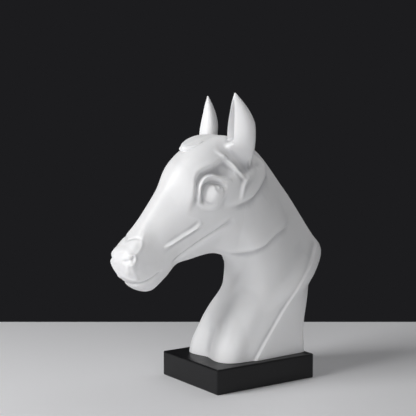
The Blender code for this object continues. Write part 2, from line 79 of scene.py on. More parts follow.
# Sections from the muzzle to the foot: place of the top line (x, z) and of the under line (x, z), half
# widths at five heights from top to under, and how square the section is above and below its middle
SECTIONS = {
    "mouth": (-158.5, 113.0, -158.5, 113.0, 0, 0, 0, 0, 0, 3.0, 3.0),
    "muzzle front": (-161.0, 121.5, -155.5, 105.0, 13, 15, 15, 13, 11, 3.0, 3.0),
    "lips": (-159.5, 129.5, -149.0, 97.0, 18, 20, 19.5, 17, 14, 3.6, 3.0),
    "nostrils": (-152.5, 138.0, -140.5, 89.0, 20.5, 21.5, 21.5, 19, 16, 3.6, 3.0),
    "chin": (-144.0, 146.5, -127.0, 85.0, 19.5, 21.5, 22, 19.5, 15.5, 4.0, 3.0),
    "chin groove": (-129.5, 164.0, -104.0, 97.0, 14.5, 20, 22.5, 20, 14, 4.0, 2.8),
    "bars": (-118.0, 179.0, -89.5, 111.0, 14, 21.5, 24.5, 22, 15, 4.0, 3.0),
    "nose": (-106.0, 195.5, -71.0, 115.5, 15, 25, 28.5, 25, 17, 4.0, 3.0),
    "eyes": (-88.0, 223.5, -43.0, 120.0, 25, 34.5, 35, 31.5, 21, 3.6, 3.0),
    "forehead": (-55.0, 246.5, -20.5, 115.0, 32, 37.5, 37, 34.5, 23, 2.8, 2.8),
    "poll": (-32.0, 252.5, -16.0, 111.5, 30, 34.5, 36, 34.5, 24, 2.6, 2.6),
    "nape": (12.0, 241.0, -10.0, 97.0, 14, 27, 33, 34, 27, 2.2, 2.3),
    "neck": (63.5, 190.0, -13.5, 78.0, 9, 23, 31, 34, 29, 2.1, 2.2),
    "shoulder": (109.5, 131.0, -25.0, 56.0, 10, 27, 38.5, 40.5, 35, 2.1, 2.4),
    "withers": (121.0, 116.0, -31.0, 46.0, 14, 34, 43.5, 43.5, 38, 2.4, 2.8),
    "back": (89.0, 76.0, -36.5, 28.0, 34, 43.5, 45.5, 45, 41, 3.4, 3.6),
    "waist": (67.5, 27.0, -41.0, 10.0, 43.5, 44.9, 45.4, 45, 43, 11.0, 4.6),
    "foot": (67.5, 0.0, -43.0, 0.0, 44.2, 45.3, 45.6, 45.3, 43, 14.0, 5.0),
}
# Where the five half widths are given, and where the line lies that the rings are spread along, as
# shares of the way down from the top line to the under line
WIDTH_HEIGHTS = np.array([0.0, 0.25, 0.5, 0.75, 1.0])
SPINE_HEIGHT = 0.25

# Fineness of the carved surface: rings along the bust, the share of them ahead of the nape, spans in half
# a ring, points that half a section is first drawn with, and points to each row of a drawn line
ALONG = 430
HEAD_SHARE = 0.6
AROUND = 130
SECTION_POINTS = 481
LINE_POINTS = 5
# The least half width of a carved line in side view and in space, and the least step along a ring
LINE_SOFTNESS = 0.5
STROKE_SOFTNESS = 0.4
LEAST_STEP = 1e-9
# Points closer than this are one, and the finished bust has no more triangles than this
MERGE_DISTANCE = 1e-5
FINISHED_TRIANGLES = 188000


def spline(knots, rows, at):
    """Smooth curve through rows: a cubic on each span, its slope at a row weighted by the spacing."""
    step = np.diff(knots)[:, None]
    slope = np.diff(rows, axis=0) / step
    tangent = np.empty_like(rows)
    tangent[0] = slope[0]
    tangent[-1] = slope[-1]
    tangent[1:-1] = (slope[:-1] * step[1:] + slope[1:] * step[:-1]) / (step[:-1] + step[1:])
    span = np.clip(np.searchsorted(knots, at, side="right") - 1, 0, len(knots) - 2)
    width = step[span]
    t = (at - knots[span])[:, None] / width
    start = (2 * t ** 3 - 3 * t ** 2 + 1) * rows[span] + (t ** 3 - 2 * t ** 2 + t) * width * tangent[span]
    end = (3 * t ** 2 - 2 * t ** 3) * rows[span + 1] + (t ** 3 - t ** 2) * width * tangent[span + 1]
    return start + end


def run_of(points):
    """Distance travelled at each point of a row of points."""
    return np.concatenate([[0.0], np.cumsum(np.linalg.norm(np.diff(points, axis=0), axis=1))])


def evenly(rings, spans):
    """Rings of points drawn again with even spans: each new place lies between two old points, at its
    share of the way from the one to the other along the ring."""
    step = np.linalg.norm(np.diff(rings, axis=1), axis=2) + LEAST_STEP
    length = np.concatenate([np.zeros((len(rings), 1)), np.cumsum(step, axis=1)], axis=1)
    place = length[:, -1:] * np.linspace(0.0, 1.0, spans + 1)
    before = (length[:, None, 1:-1] <= place[:, :, None]).sum(axis=2)
    start = np.take_along_axis(length, before, axis=1)
    end = np.take_along_axis(length, before + 1, axis=1)
    share = ((place - start) / (end - start))[:, :, None]
    ring = np.arange(len(rings))[:, None]
    return rings[ring, before] + (rings[ring, before + 1] - rings[ring, before]) * share


def plain_bust():
    """The plain bust as a grid of rings. Half of each section is a squared oval, whose half width is
    that of the table times (1 - |1 - 2 down| ^ square) ^ (1 / square), sampled evenly along its length;
    the other half is its mirror."""
    rows = np.array(list(SECTIONS.values()), dtype=float)
    travel = run_of(rows[:, 0:2] * (1 - SPINE_HEIGHT) + rows[:, 2:4] * SPINE_HEIGHT)
    nape = travel[list(SECTIONS).index("nape")]
    at = np.interp(np.linspace(0.0, 1.0, ALONG), [0.0, HEAD_SHARE, 1.0], [0.0, nape, travel[-1]])
    row = spline(travel, rows, at)
    down = (1 - np.cos(np.linspace(0.0, math.pi, SECTION_POINTS))) / 2
    half = spline(WIDTH_HEIGHTS, np.maximum(row[:, 4:9], 0.0).T, down).T
    square = np.where(down[None, :] < 0.5, row[:, 9:10], row[:, 10:11])
    y = half * (1 - np.abs(1 - 2 * down[None, :]) ** square) ** (1 / square)
    side = row[:, None, 0:2] + (row[:, None, 2:4] - row[:, None, 0:2]) * down[None, :, None]
    half_ring = evenly(np.stack([side[:, :, 0], y, side[:, :, 1]], axis=2), AROUND)
    mirror = half_ring[:, -2:0:-1] * np.array([1.0, -1.0, 1.0])
    return np.concatenate([half_ring, mirror], axis=1)


def normals_of(grid):
    """Unit normals of a grid of rings, pointing out, from the slopes along and around it."""
    along = np.gradient(grid, axis=0)
    around = np.roll(grid, -1, axis=1) - np.roll(grid, 1, axis=1)
    normal = np.cross(along, around)
    normal /= np.maximum(np.linalg.norm(normal, axis=2, keepdims=True), 1e-9)
    normal[0] = (-1.0, 0.0, 0.0)
    normal[-1, :, 2] = 0.0
    return normal


def beside(x, z, line):
    """Nearest place on a drawn line for every surface point in side view. The line's rows are x, z,
    width and height. Gives the distance, the signed distance (positive on the left of the line as it
    runs), and the width and height there."""
    rows = np.array(line, dtype=float)
    knots = run_of(rows[:, :2])
    fine = spline(knots, rows, np.linspace(0.0, knots[-1], LINE_POINTS * len(rows)))
    fine[:, 2] = np.hypot(fine[:, 2], LINE_SOFTNESS)
    distance = np.full(x.shape, np.inf)
    signed = np.zeros(x.shape)
    width = np.ones(x.shape)
    height = np.zeros(x.shape)
    for a, b in zip(fine[:-1], fine[1:]):
        dx, dz = b[:2] - a[:2]
        t = np.clip(((x - a[0]) * dx + (z - a[1]) * dz) / (dx * dx + dz * dz), 0.0, 1.0)
        gap = np.hypot(x - a[0] - t * dx, z - a[1] - t * dz)
        closer = gap < distance
        cross = dx * (z - a[1]) - dz * (x - a[0])
        distance = np.where(closer, gap, distance)
        signed = np.where(closer, np.sign(cross) * gap, signed)
        width = np.where(closer, a[2] + t * (b[2] - a[2]), width)
        height = np.where(closer, a[3] + t * (b[3] - a[3]), height)
    return distance, signed, width, height


def ridge(x, z, line, left=1.0, right=1.0):
    """A raised line, round in section, with its width times left on its left side and times right on
    its right; a negative height sinks a groove."""
    distance, signed, width, height = beside(x, z, line)
    width = width * np.where(signed > 0, left, right)
    return height * np.exp(-(distance / width) ** 2)


def shelf(x, z, line, fade, power=2):
    """A step: the surface on the left of the line stands proud by the height and sinks back over fade,
    level at first where power is high."""
    _, signed, width, height = beside(x, z, line)
    return height * 0.5 * (1 + np.tanh(signed / width)) * np.exp(-(np.maximum(signed, 0) / fade) ** power)


def stroke(x, y, z, path):
    """A raised line that follows a path through space: height times exp(-(distance / width) squared).
    The path's rows are x, y, z, width and height, for the side where y is positive."""
    rows = np.array(path, dtype=float)
    knots = run_of(rows[:, :3])
    fine = spline(knots, rows, np.linspace(0.0, knots[-1], LINE_POINTS * len(rows)))
    height = np.zeros(x.shape)
    nearest = np.full(x.shape, np.inf)
    for a, b in zip(fine[:-1], fine[1:]):
        step = b[:3] - a[:3]
        t = ((x - a[0]) * step[0] + (y - a[1]) * step[1] + (z - a[2]) * step[2]) / (step @ step)
        t = np.clip(t, 0.0, 1.0)
        gap = np.sqrt((x - a[0] - t * step[0]) ** 2 + (y - a[1] - t * step[1]) ** 2
                      + (z - a[2] - t * step[2]) ** 2)
        width = np.maximum(a[3] + t * (b[3] - a[3]), STROKE_SOFTNESS)
        here = (a[4] + t * (b[4] - a[4])) * np.exp(-(gap / width) ** 2)
        height = np.where(gap < nearest, here, height)
        nearest = np.minimum(nearest, gap)
    return height


def dome(x, y, z, centre, radii, height):
    """A soft swelling round a place on the surface: height times (1 - r squared) squared."""
    offsets = [(x - centre[0]) / radii[0], (y - centre[1]) / radii[1], (z - centre[2]) / radii[2]]
    reach = sum(offset ** 2 for offset in offsets)
    return height * np.clip(1 - reach, 0.0, 1.0) ** 2


# Lines of the carving in side view: x, z, width, height, on the drawing grid
BROW = [(-88, 168, 3.0, 0), (-84.5, 178, 2.2, 1.8), (-82, 187, 1.5, 4.4), (-80.5, 198, 1.2, 6.0),
        (-78, 208.5, 1.1, 7.0), (-72.5, 215.6, 1.1, 7.2), (-65, 219, 1.1, 7.2), (-57, 221.6, 1.1, 7.0),
        (-47.5, 224.8, 1.1, 6.4), (-41, 227.5, 1.2, 5.0), (-36, 229.5, 1.6, 1.6), (-33, 230.5, 2.2, 0)]
UPPER_LID = [(-76.5, 182, 2.2, 1.0), (-76, 192, 2.6, 4.0), (-74, 201.5, 2.8, 5.6), (-67.5, 209, 2.6, 6.2),
             (-58.5, 210.6, 2.5, 5.6), (-49.5, 208.2, 2.5, 3.8), (-41, 206, 2.5, 2.0),
             (-34, 204.5, 2.5, 0)]
LID_GAP = [(-71.0, 182, 1.6, -1.2), (-70.6, 193.5, 2.1, -5.4), (-67.8, 200.3, 2.3, -6.4),
           (-61.5, 203.2, 2.4, -6.2), (-53, 202.0, 2.2, -4.8), (-46.5, 199.2, 2.0, -2.2),
           (-42, 197, 2.0, 0)]
LOWER_LID = [(-77, 181, 2.4, 0.6), (-70, 177.4, 2.6, 1.1), (-60, 177.0, 2.8, 1.3), (-51, 181.5, 2.4, 1.1),
             (-43, 194, 1.8, 0.3)]
TEMPLE = [(-50, 238.5, 2.6, 0), (-45.5, 234, 1.9, 1.8), (-38.9, 228.6, 1.7, 3.2),
          (-30.6, 219.8, 1.7, 3.4), (-21, 209.5, 1.9, 2.8), (-14, 202, 2.6, 0)]
FACE_CREST = [(-71, 159.0, 2.4, 0), (-76, 156, 1.3, 2.4), (-94, 145.3, 1.1, 2.8), (-110, 136.3, 1.1, 2.4),
              (-115, 133.6, 1.4, 0)]
JAW_GROOVE = [(-32, 162, 3.4, 0), (-42, 156, 2.2, -2.2), (-52, 149.4, 1.9, -3.6), (-69, 138.6, 1.9, -4.2),
              (-80.5, 130.5, 1.9, -4.0), (-92, 122.6, 2.0, -2.8), (-103, 115.5, 2.6, 0)]
JOWL = [(62, 151, 2.0, 0), (51, 146, 1.4, 2.0), (31, 139, 1.1, 3.4), (12.5, 128.3, 1.1, 4.0),
        (-5, 122.5, 1.2, 3.6), (-20, 121, 1.4, 2.8), (-36, 125, 2.0, 1.2), (-48, 130, 2.5, 0)]
PLATE = [(2, 232, 2.0, 0), (17, 228, 1.6, 3.6), (26, 217, 1.3, 6.4), (22, 206, 1.3, 6.8),
         (10, 196, 1.4, 6.4), (-7, 184.5, 1.6, 5.4), (-26, 179.0, 2.0, 3.4), (-46, 176, 3.0, 0)]
PLATE_FRONT = [(13, 228, 1.6, 0), (8.6, 221.8, 1.8, 1.2), (4, 215.5, 2.2, 1.8), (-9, 206.6, 2.4, 2.4),
               (-19, 198.5, 2.4, 2.6), (-23, 188.5, 2.6, 1.6), (-25, 178, 3, 0)]
SHOULDER_LINE = [(119, 124, 1.6, 0), (107, 117, 1.1, 1.6), (87, 103, 0.9, 2.2), (55, 78, 0.9, 2.4),
                 (30, 52, 0.9, 2.4), (10, 26, 0.9, 2.2), (-9, 0, 1.0, 2.0)]
SHOULDER_HOLLOW = [(86, 128, 12, 0), (56, 104, 13, -1.8), (22, 72, 13, -2.8), (-4, 40, 11, -2.2),
                   (-22, 8, 9, -0.8)]
MOUTH_SIDE = [(-150.5, 95.6, 1.2, 0), (-146.5, 96.2, 1.2, -2.4), (-140, 97.4, 1.1, -3.2),
              (-131, 100.4, 1.1, -3.0), (-122, 105.4, 1.3, -1.8), (-115, 109.5, 1.8, 0)]
# How many times its width a line takes on its left and on its right side
CREST_SIDES = (0.8, 1.7)
GROOVE_SIDES = (1.5, 0.8)
TEMPLE_SIDES = (2.0, 1.0)
# How far the steps fade, how level the eye socket and the plate are, how deep the temple lies and how
# high the bead on the shoulder line stands, as shares of the line's height
SOCKET_FADE = 21.0
SOCKET_LEVEL = 4
TEMPLE_FADE = 12.0
TEMPLE_DEPTH = 0.4
JOWL_FADE = 26.0
PLATE_FADE = 20.0
PLATE_LEVEL = 1.2
SHOULDER_FADE = 24.0
SHOULDER_BEAD = 0.4
# The eye: its middle, tilt, radii and bulge, and how full the lens is: 0.5 is a ball and 1 a flatter dome
EYE = (-58.0, 191)
EYE_TILT = math.radians(30)
EYE_RADII = (12.0, 10.4)
EYE_BULGE = 3.4
EYE_FULLNESS = 0.7
# The pupil: its middle, depth, radius and the softness of its edge, and the pip of light in it
PUPIL = (-53.8, 197.5)
PUPIL_DEPTH = 1.6
PUPIL_RADIUS = 4.4
PUPIL_EDGE = 0.5
PIP = (-53.2, 198.1)
PIP_HEIGHT = 1.9
PIP_RADIUS = 1.1
# Swellings of the breast: centre, radii and height
BREAST = [((-44, 28, 8), (34, 30, 60), 6.0), ((-22, 30, 52), (34, 24, 34), 2.6)]

# Strokes of the carving in space, on the side where y is positive: x, y, z, width, height
NOSTRIL = [(-160.5, 11.0, 121.8, 1.1, -1.0), (-158.6, 14.0, 122.2, 1.6, -4.4),
           (-156.0, 17.0, 122.8, 1.9, -6.6), (-153.6, 18.8, 124.0, 1.7, -5.6),
           (-152.0, 19.6, 127.2, 1.1, -1.6)]
NOSTRIL_RIM = [(-157.5, 15.5, 126.6, 1.8, 0.3), (-154.5, 18.5, 128.6, 1.7, 0.9),
               (-150.6, 20.4, 127.6, 1.7, 1.3), (-150.4, 21.0, 123.2, 1.8, 1.3),
               (-153.4, 20.4, 119.0, 1.9, 1.2), (-156.8, 18.0, 117.4, 2.0, 0.5)]
NOSE_EDGE = [(-133, 15.5, 153.5, 2.2, 0), (-139.5, 17.5, 144.6, 2.0, 0.7),
             (-141.6, 19.0, 137.6, 1.9, 0.8), (-146.2, 19.8, 131.8, 1.7, 0.8),
             (-151.0, 19.4, 128.0, 1.5, 0.6)]
NOSE_CREASE = [(-149.5, 0, 143.6, 2.2, -1.0), (-146.5, 5, 145.0, 2.0, -1.0),
               (-143.6, 11, 145.6, 2.0, -0.9), (-140.5, 16, 144.6, 1.8, -0.5), (-138.0, 19, 142.5, 1.8, 0)]
FRONT_EDGE = [(-153.6, 20.0, 120.5, 2.4, 0), (-153.6, 20.6, 113.5, 2.3, 0.6),
              (-151.0, 20.4, 106.5, 2.3, 0.8), (-147.0, 19.8, 101.5, 2.2, 0.7),
              (-143.5, 19.2, 98.5, 2.0, 0.3)]
MOUTH_FRONT = [(-153.0, 0, 98.0, 1.2, -2.0), (-151.4, 8, 97.6, 1.2, -2.0),
               (-148.0, 14.0, 97.0, 1.2, -1.8), (-145.5, 17.0, 96.6, 1.2, 0)]
LIP_BAND = [(-156.5, 0, 102.0, 2.4, 1.0), (-154.6, 9, 101.6, 2.4, 1.2), (-149.6, 16.5, 101.0, 2.2, 1.2),
            (-143.5, 19.5, 102.0, 2.4, 0.3)]


def eyeball(x, z):
    """A lens that bulges between the lids, half a dome over an oval tilted up towards the rear, with a
    shallow pupil and a small pip of light left standing in it."""
    along = (x - EYE[0]) * math.cos(EYE_TILT) + (z - EYE[1]) * math.sin(EYE_TILT)
    across = (z - EYE[1]) * math.cos(EYE_TILT) - (x - EYE[0]) * math.sin(EYE_TILT)
    reach = (along / EYE_RADII[0]) ** 2 + (across / EYE_RADII[1]) ** 2
    lens = EYE_BULGE * np.clip(1 - reach, 0.0, 1.0) ** EYE_FULLNESS
    from_pupil = np.hypot(x - PUPIL[0], z - PUPIL[1])
    pupil = -PUPIL_DEPTH / (1 + np.exp((from_pupil - PUPIL_RADIUS) / PUPIL_EDGE))
    pip = PIP_HEIGHT * np.exp(-(np.hypot(x - PIP[0], z - PIP[1]) / PIP_RADIUS) ** 2)
    return lens + pupil + pip


def carving(x, y, z):
    """Height of the carving above the plain bust at each point, both sides alike."""
    side = np.abs(y)
    height = -shelf(x, z, BROW[::-1], SOCKET_FADE, SOCKET_LEVEL)
    height += eyeball(x, z)
    for line in (UPPER_LID, LID_GAP, LOWER_LID, MOUTH_SIDE):
        height += ridge(x, z, line)
    height += ridge(x, z, FACE_CREST, *CREST_SIDES)
    height += ridge(x, z, JAW_GROOVE, *GROOVE_SIDES)
    for path in (NOSTRIL, NOSTRIL_RIM, NOSE_EDGE, NOSE_CREASE, FRONT_EDGE, MOUTH_FRONT, LIP_BAND):
        height += stroke(x, side, z, path)
    height += ridge(x, z, TEMPLE, *TEMPLE_SIDES)
    height -= shelf(x, z, TEMPLE, TEMPLE_FADE) * TEMPLE_DEPTH
    height += shelf(x, z, JOWL[::-1], JOWL_FADE)
    height += ridge(x, z, PLATE_FRONT)
    height += shelf(x, z, PLATE[::-1], PLATE_FADE, PLATE_LEVEL)
    height += ridge(x, z, SHOULDER_LINE) * SHOULDER_BEAD
    height += shelf(x, z, SHOULDER_LINE, SHOULDER_FADE)
    height += ridge(x, z, SHOULDER_HOLLOW)
    for centre, radii, swelling in BREAST:
        height += dome(x, side, z, centre, radii, swelling)
    return height


def bust_grid():
    """The carved bust: each point of the plain bust moved along its normal by the carving's height."""
    grid = plain_bust()
    height = carving(grid[:, :, 0], grid[:, :, 1], grid[:, :, 2])
    carved = grid + normals_of(grid) * height[:, :, None]
    carved[0] = carved[0].mean(axis=0)
    carved[-1, :, 2] = grid[-1, :, 2]
    return carved


# Ears: place of the centre line (x, y, z), half width across the opening and half depth, base to tip
EAR = [(-8, 17, 218, 8, 9), (-12.4, 22, 232, 11, 14), (-17.9, 26.5, 244, 13.5, 17.7),
       (-18.8, 28, 256, 14.4, 17.7), (-19.0, 28.5, 266, 13.6, 16.9), (-20.7, 28.5, 280, 9.8, 12.3),
       (-23.2, 28.2, 291, 5.2, 6.8), (-25.2, 28, 300, 0.8, 0.8)]
# How far each ear's opening swings outwards, how its base and tip lean, and its depth as a share of the
# one in the table
LEFT_EAR_TURN = math.radians(-12)
LEFT_EAR_LEAN = (0.0, 0.0, 0.0)
LEFT_EAR_DEPTH = 1.0
RIGHT_EAR_TURN = math.radians(41)
RIGHT_EAR_LEAN = (-12.2, 2.0, -3.6)
RIGHT_EAR_DEPTH = 0.69
# How much the oval narrows towards its front, and the hollow: its depth as a share of the half depth, and
# where it starts, rises and falls off as shares of the ear's length
EAR_TAPER = 0.3
EAR_HOLLOW = 1.5
HOLLOW_START = 0.33
HOLLOW_RISE = 0.12
HOLLOW_FALL = 0.2
# Half the angle that the opening takes of a ring, and how steep its rim is: the less, the steeper
EAR_OPENING = math.radians(50)
EAR_EDGE = 0.55
EAR_RINGS = 84
EAR_POINTS = 132

# Forelock: centre line (x, y, z), half width and half thickness, from the poll to the tip
FORELOCK = [(-12, 2, 243.5, 7, 4), (-28, 2, 247.4, 10, 5), (-42, 2, 247, 12.5, 5.8),
            (-52, 2, 245, 14, 6.2), (-60.5, 2.5, 241.8, 14.2, 6.4), (-67.5, 3.5, 239.6, 11.8, 5.8),
            (-73, 5, 238.6, 7.5, 4.4), (-76.5, 6.5, 238.4, 1.2, 1.0)]
# Its roll, how square its oval is (1 is round), its strands and their depth as a share of its thickness,
# and the scoop under its curl: centre, radii and height
LOCK_ROLL = math.radians(15)
LOCK_SQUARE = 0.8
LOCK_STRANDS = 11
STRAND_DEPTH = 0.075
SCOOP = ((-53.5, -12.5, 243.0), (7.5, 8.0, 6.0), -6.0)
LOCK_RINGS = 76
LOCK_POINTS = 110


def ear_grid(side, turn, lean, deepness):
    """One ear as a grid of rings: an oval that narrows towards its front, where it is pressed in to a
    hollow that fades at base and tip. side is -1 for the left ear and 1 for the right, turn swings its
    opening outwards from -x, and lean moves its base and its tip along x and its tip along z."""
    rows = np.array(EAR, dtype=float)
    share = (rows[:, 2] - rows[0, 2]) / (rows[-1, 2] - rows[0, 2])
    rows[:, 0] += lean[0] + (lean[1] - lean[0]) * share
    rows[:, 2] += lean[2] * share
    rows[:, 4] *= deepness
    knots = run_of(rows[:, :3])
    at = np.linspace(0.0, knots[-1], EAR_RINGS)
    row = spline(knots, rows, at)
    share = at / knots[-1]
    hollow = EAR_HOLLOW * np.clip((share - HOLLOW_START) / HOLLOW_RISE, 0, 1)
    hollow *= np.clip((1.0 - share) / HOLLOW_FALL, 0, 1)
    angle = np.linspace(0.0, 2 * math.pi, EAR_POINTS, endpoint=False)
    across = (np.sin(angle) * (1 - EAR_TAPER * np.cos(angle)))[None, :] * row[:, 3:4]
    from_front = np.abs((angle + math.pi) % (2 * math.pi) - math.pi)
    pressed = np.clip(1 - (from_front / EAR_OPENING) ** 2, 0.0, 1.0) ** EAR_EDGE
    depth = (np.cos(angle)[None, :] - hollow[:, None] * pressed[None, :]) * row[:, 4:5]
    ahead = np.array([-math.cos(turn), side * math.sin(turn)])
    sideways = np.array([side * math.sin(turn), math.cos(turn)])
    x = row[:, 0:1] + ahead[0] * depth + sideways[0] * across
    y = side * row[:, 1:2] + ahead[1] * depth + sideways[1] * across
    z = np.repeat(row[:, 2:3], EAR_POINTS, axis=1)
    return np.stack([x, y, z], axis=2)


def lock_grid():
    """The forelock as a grid of rings square to its centre line: flat ovals rolled down towards the left,
    with shallow strands along it and a scoop under its curl, ending in a point."""
    rows = np.array(FORELOCK, dtype=float)
    knots = run_of(rows[:, :3])
    row = spline(knots, rows, np.linspace(0.0, knots[-1], LOCK_RINGS))
    forward = np.gradient(row[:, :3], axis=0)
    forward /= np.linalg.norm(forward, axis=1, keepdims=True)
    level = np.cross(forward, (0.0, 0.0, 1.0))
    level /= np.linalg.norm(level, axis=1, keepdims=True)
    up = np.cross(level, forward)
    across = level * math.cos(LOCK_ROLL) + up * math.sin(LOCK_ROLL)
    up = up * math.cos(LOCK_ROLL) - level * math.sin(LOCK_ROLL)
    angle = np.linspace(0.0, 2 * math.pi, LOCK_POINTS, endpoint=False)
    strands = 1 - STRAND_DEPTH * (1 - np.cos(LOCK_STRANDS * angle)) / 2
    level_share = np.sign(np.cos(angle)) * np.abs(np.cos(angle)) ** LOCK_SQUARE * strands
    tall_share = np.sign(np.sin(angle)) * np.abs(np.sin(angle)) ** LOCK_SQUARE * strands
    wide = level_share[None, :, None] * row[:, None, 3:4] * across[:, None, :]
    tall = tall_share[None, :, None] * row[:, None, 4:5] * up[:, None, :]
    grid = row[:, None, :3] + wide + tall
    centre, radii, depth = SCOOP
    sink = dome(grid[:, :, 0], grid[:, :, 1], grid[:, :, 2], centre, radii, depth)
    outward = wide + tall
    outward /= np.maximum(np.linalg.norm(outward, axis=2, keepdims=True), 1e-6)
    return grid + outward * sink[:, :, None]


def closed_mesh(name, grid, pole):
    """A closed mesh from a grid of rings: quads between the rings, a pole or a flat cap at the start and
    a flat cap at the end, faces turned outwards."""
    rings, points = grid.shape[:2]
    index = np.arange(rings * points).reshape(rings, points)
    after = np.roll(index, -1, axis=1)
    faces = np.stack([index[:-1], after[:-1], after[1:], index[1:]], axis=2).reshape(-1, 4).tolist()
    faces.append(index[-1, ::-1].tolist())
    faces.append(index[0].tolist())
    mesh = bpy.data.meshes.new(name)
    mesh.from_pydata(grid.reshape(-1, 3).tolist(), [], faces)
    work = bmesh.new()
    work.from_mesh(mesh)
    if pole:
        bmesh.ops.remove_doubles(work, verts=work.verts, dist=MERGE_DISTANCE)
    bmesh.ops.recalc_face_normals(work, faces=work.faces)
    work.to_mesh(mesh)
    work.free()
    return mesh


def placed(name, mesh):
    """An object in the scene for a mesh, at the origin, shaded smooth."""
    thing = bpy.data.objects.new(name, mesh)
    bpy.context.scene.collection.objects.link(thing)
    mesh.shade_smooth()
    return thing


def fused(name, meshes):
    """One closed mesh from several that overlap, by a Boolean union. A face keeps the number of the
    mesh that it came from as its material index."""
    things = [placed(name + "_shape", mesh) for mesh in meshes]
    for number, thing in enumerate(things):
        for _ in meshes:
            thing.data.materials.append(None)
        numbers = np.full(len(thing.data.polygons), number, np.int32)
        thing.data.polygons.foreach_set("material_index", numbers)
    for thing in things[1:]:
        union = things[0].modifiers.new("join", "BOOLEAN")
        union.operation = "UNION"
        union.solver = "EXACT"
        union.object = thing
    faces = sum(len(thing.data.polygons) for thing in things)
    thinning = things[0].modifiers.new("thin", "DECIMATE")
    thinning.ratio = min(1.0, FINISHED_TRIANGLES / (2 * faces))
    result = things[0].evaluated_get(bpy.context.evaluated_depsgraph_get())
    mesh = bpy.data.meshes.new_from_object(result)
    mesh.name = name
    for thing in things:
        bpy.data.objects.remove(thing, do_unlink=True)
    return mesh


def edges_of(mesh):
    """The mesh's edges as two arrays of vertex numbers."""
    pairs = np.empty(len(mesh.edges) * 2, np.int32)
    mesh.edges.foreach_get("vertices", pairs)
    return pairs[0::2], pairs[1::2]


def neighbour_mean(values, a, b, degree):
    """Mean over each vertex's neighbours."""
    total = np.zeros_like(values)
    np.add.at(total, a, values[b])
    np.add.at(total, b, values[a])
    return total / degree


def places_of(mesh):
    """Vertex places as an array."""
    places = np.empty(len(mesh.vertices) * 3, np.float32)
    mesh.vertices.foreach_get("co", places)
    return places.reshape(-1, 3).astype(float)


# How far and how often each join is eased: the shape's number, rings of vertices and passes; how much of
# the way to its neighbours a vertex goes in a pass; the height where the easing ends, and the height over
# which it fades before that
JOIN_EASING = ((1, 12, 40), (2, 12, 40), (3, 3, 4))
EASE_STRENGTH = 0.6
EASE_TOP = 250.0
EASE_TOP_FADE = 6.0


def ease_join(mesh, number, rings, passes):
    """A fillet where one of the fused shapes meets the rest: the vertices within some rings of the join
    and below EASE_TOP are drawn to their neighbours' mean, less the further they are from the join."""
    a, b = edges_of(mesh)
    degree = np.zeros(len(mesh.vertices))
    np.add.at(degree, a, 1)
    np.add.at(degree, b, 1)
    loops = np.empty(len(mesh.loops), np.int32)
    mesh.loops.foreach_get("vertex_index", loops)
    totals = np.empty(len(mesh.polygons), np.int32)
    mesh.polygons.foreach_get("loop_total", totals)
    numbers = np.empty(len(mesh.polygons), np.int32)
    mesh.polygons.foreach_get("material_index", numbers)
    of_shape = np.repeat(numbers == number, totals)
    inside = np.zeros(len(mesh.vertices), bool)
    outside = np.zeros(len(mesh.vertices), bool)
    inside[loops[of_shape]] = True
    outside[loops[~of_shape]] = True
    weight = (inside & outside).astype(float)
    for _ in range(rings):
        spread = weight.copy()
        np.maximum.at(spread, a, weight[b] - 1.0 / rings)
        np.maximum.at(spread, b, weight[a] - 1.0 / rings)
        weight = spread
    places = places_of(mesh)
    weight = np.clip(weight, 0.0, 1.0) * np.clip((EASE_TOP - places[:, 2]) / EASE_TOP_FADE, 0.0, 1.0)
    weight = weight[:, None]
    for _ in range(passes):
        places += weight * EASE_STRENGTH * (neighbour_mean(places, a, b, degree[:, None]) - places)
    mesh.vertices.foreach_set("co", places.astype(np.float32).ravel())
    mesh.update()


# How many rings of neighbours a hollow is measured over, the depth in mm that counts as deepest, and how
# often the result is blurred
HOLLOW_REACH = 12
HOLLOW_DEPTH = 0.6
HOLLOW_BLUR = 3


# The resin's colour ramp reads this attribute to paint shade into the grooves and a highlight onto the
# edges
def mark_hollows(mesh):
    """Writes how deep each vertex lies in a hollow to the attribute "hollow": 0 on an edge, 0.5 on plain
    surface and 1 in a groove, from the distance to its neighbours' mean along the normal."""
    a, b = edges_of(mesh)
    degree = np.zeros(len(mesh.vertices))
    np.add.at(degree, a, 1)
    np.add.at(degree, b, 1)
    places = places_of(mesh)
    normals = np.empty(len(mesh.vertices) * 3, np.float32)
    mesh.vertices.foreach_get("normal", normals)
    normals = normals.reshape(-1, 3)
    smooth = places.copy()
    for _ in range(HOLLOW_REACH):
        smooth = neighbour_mean(smooth, a, b, degree[:, None])
    depth = ((smooth - places) * normals).sum(axis=1)
    value = np.clip(0.5 + depth / (2 * HOLLOW_DEPTH * MILLIMETRE), 0.0, 1.0)
    for _ in range(HOLLOW_BLUR):
        value = neighbour_mean(value, a, b, degree)
    attribute = mesh.attributes.new("hollow", "FLOAT", "POINT")
    attribute.data.foreach_set("value", value.astype(np.float32))


def fit_to_box(mesh, node):
    """Scales and moves a mesh drawn on the grid so that it fills the solid's box exactly."""
    low, high = (np.array(corner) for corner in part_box(node))
    places = places_of(mesh)
    least, most = places.min(axis=0), places.max(axis=0)
    places = low + (places - least) * (high - low) / (most - least)
    mesh.vertices.foreach_set("co", places.astype(np.float32).ravel())
    mesh.update()


def linear(colour):
    """An sRGB hex colour as linear red, green, blue and alpha."""
    parts = [int(colour[i:i + 2], 16) / 255 for i in (1, 3, 5)]
    return tuple(c / 12.92 if c <= 0.04045 else ((c + 0.055) / 1.055) ** 2.4 for c in parts) + (1.0,)


def add(tree, kind, inputs=None, **settings):
    """Adds a node with its settings, and gives each named or numbered input its value or its link."""
    node = tree.nodes.new(kind)
    for name, value in settings.items():
        setattr(node, name, value)
    for name, source in (inputs or {}).items():
        if isinstance(source, bpy.types.NodeSocket):
            tree.links.new(source, node.inputs[name])
        else:
            node.inputs[name].default_value = source
    return node


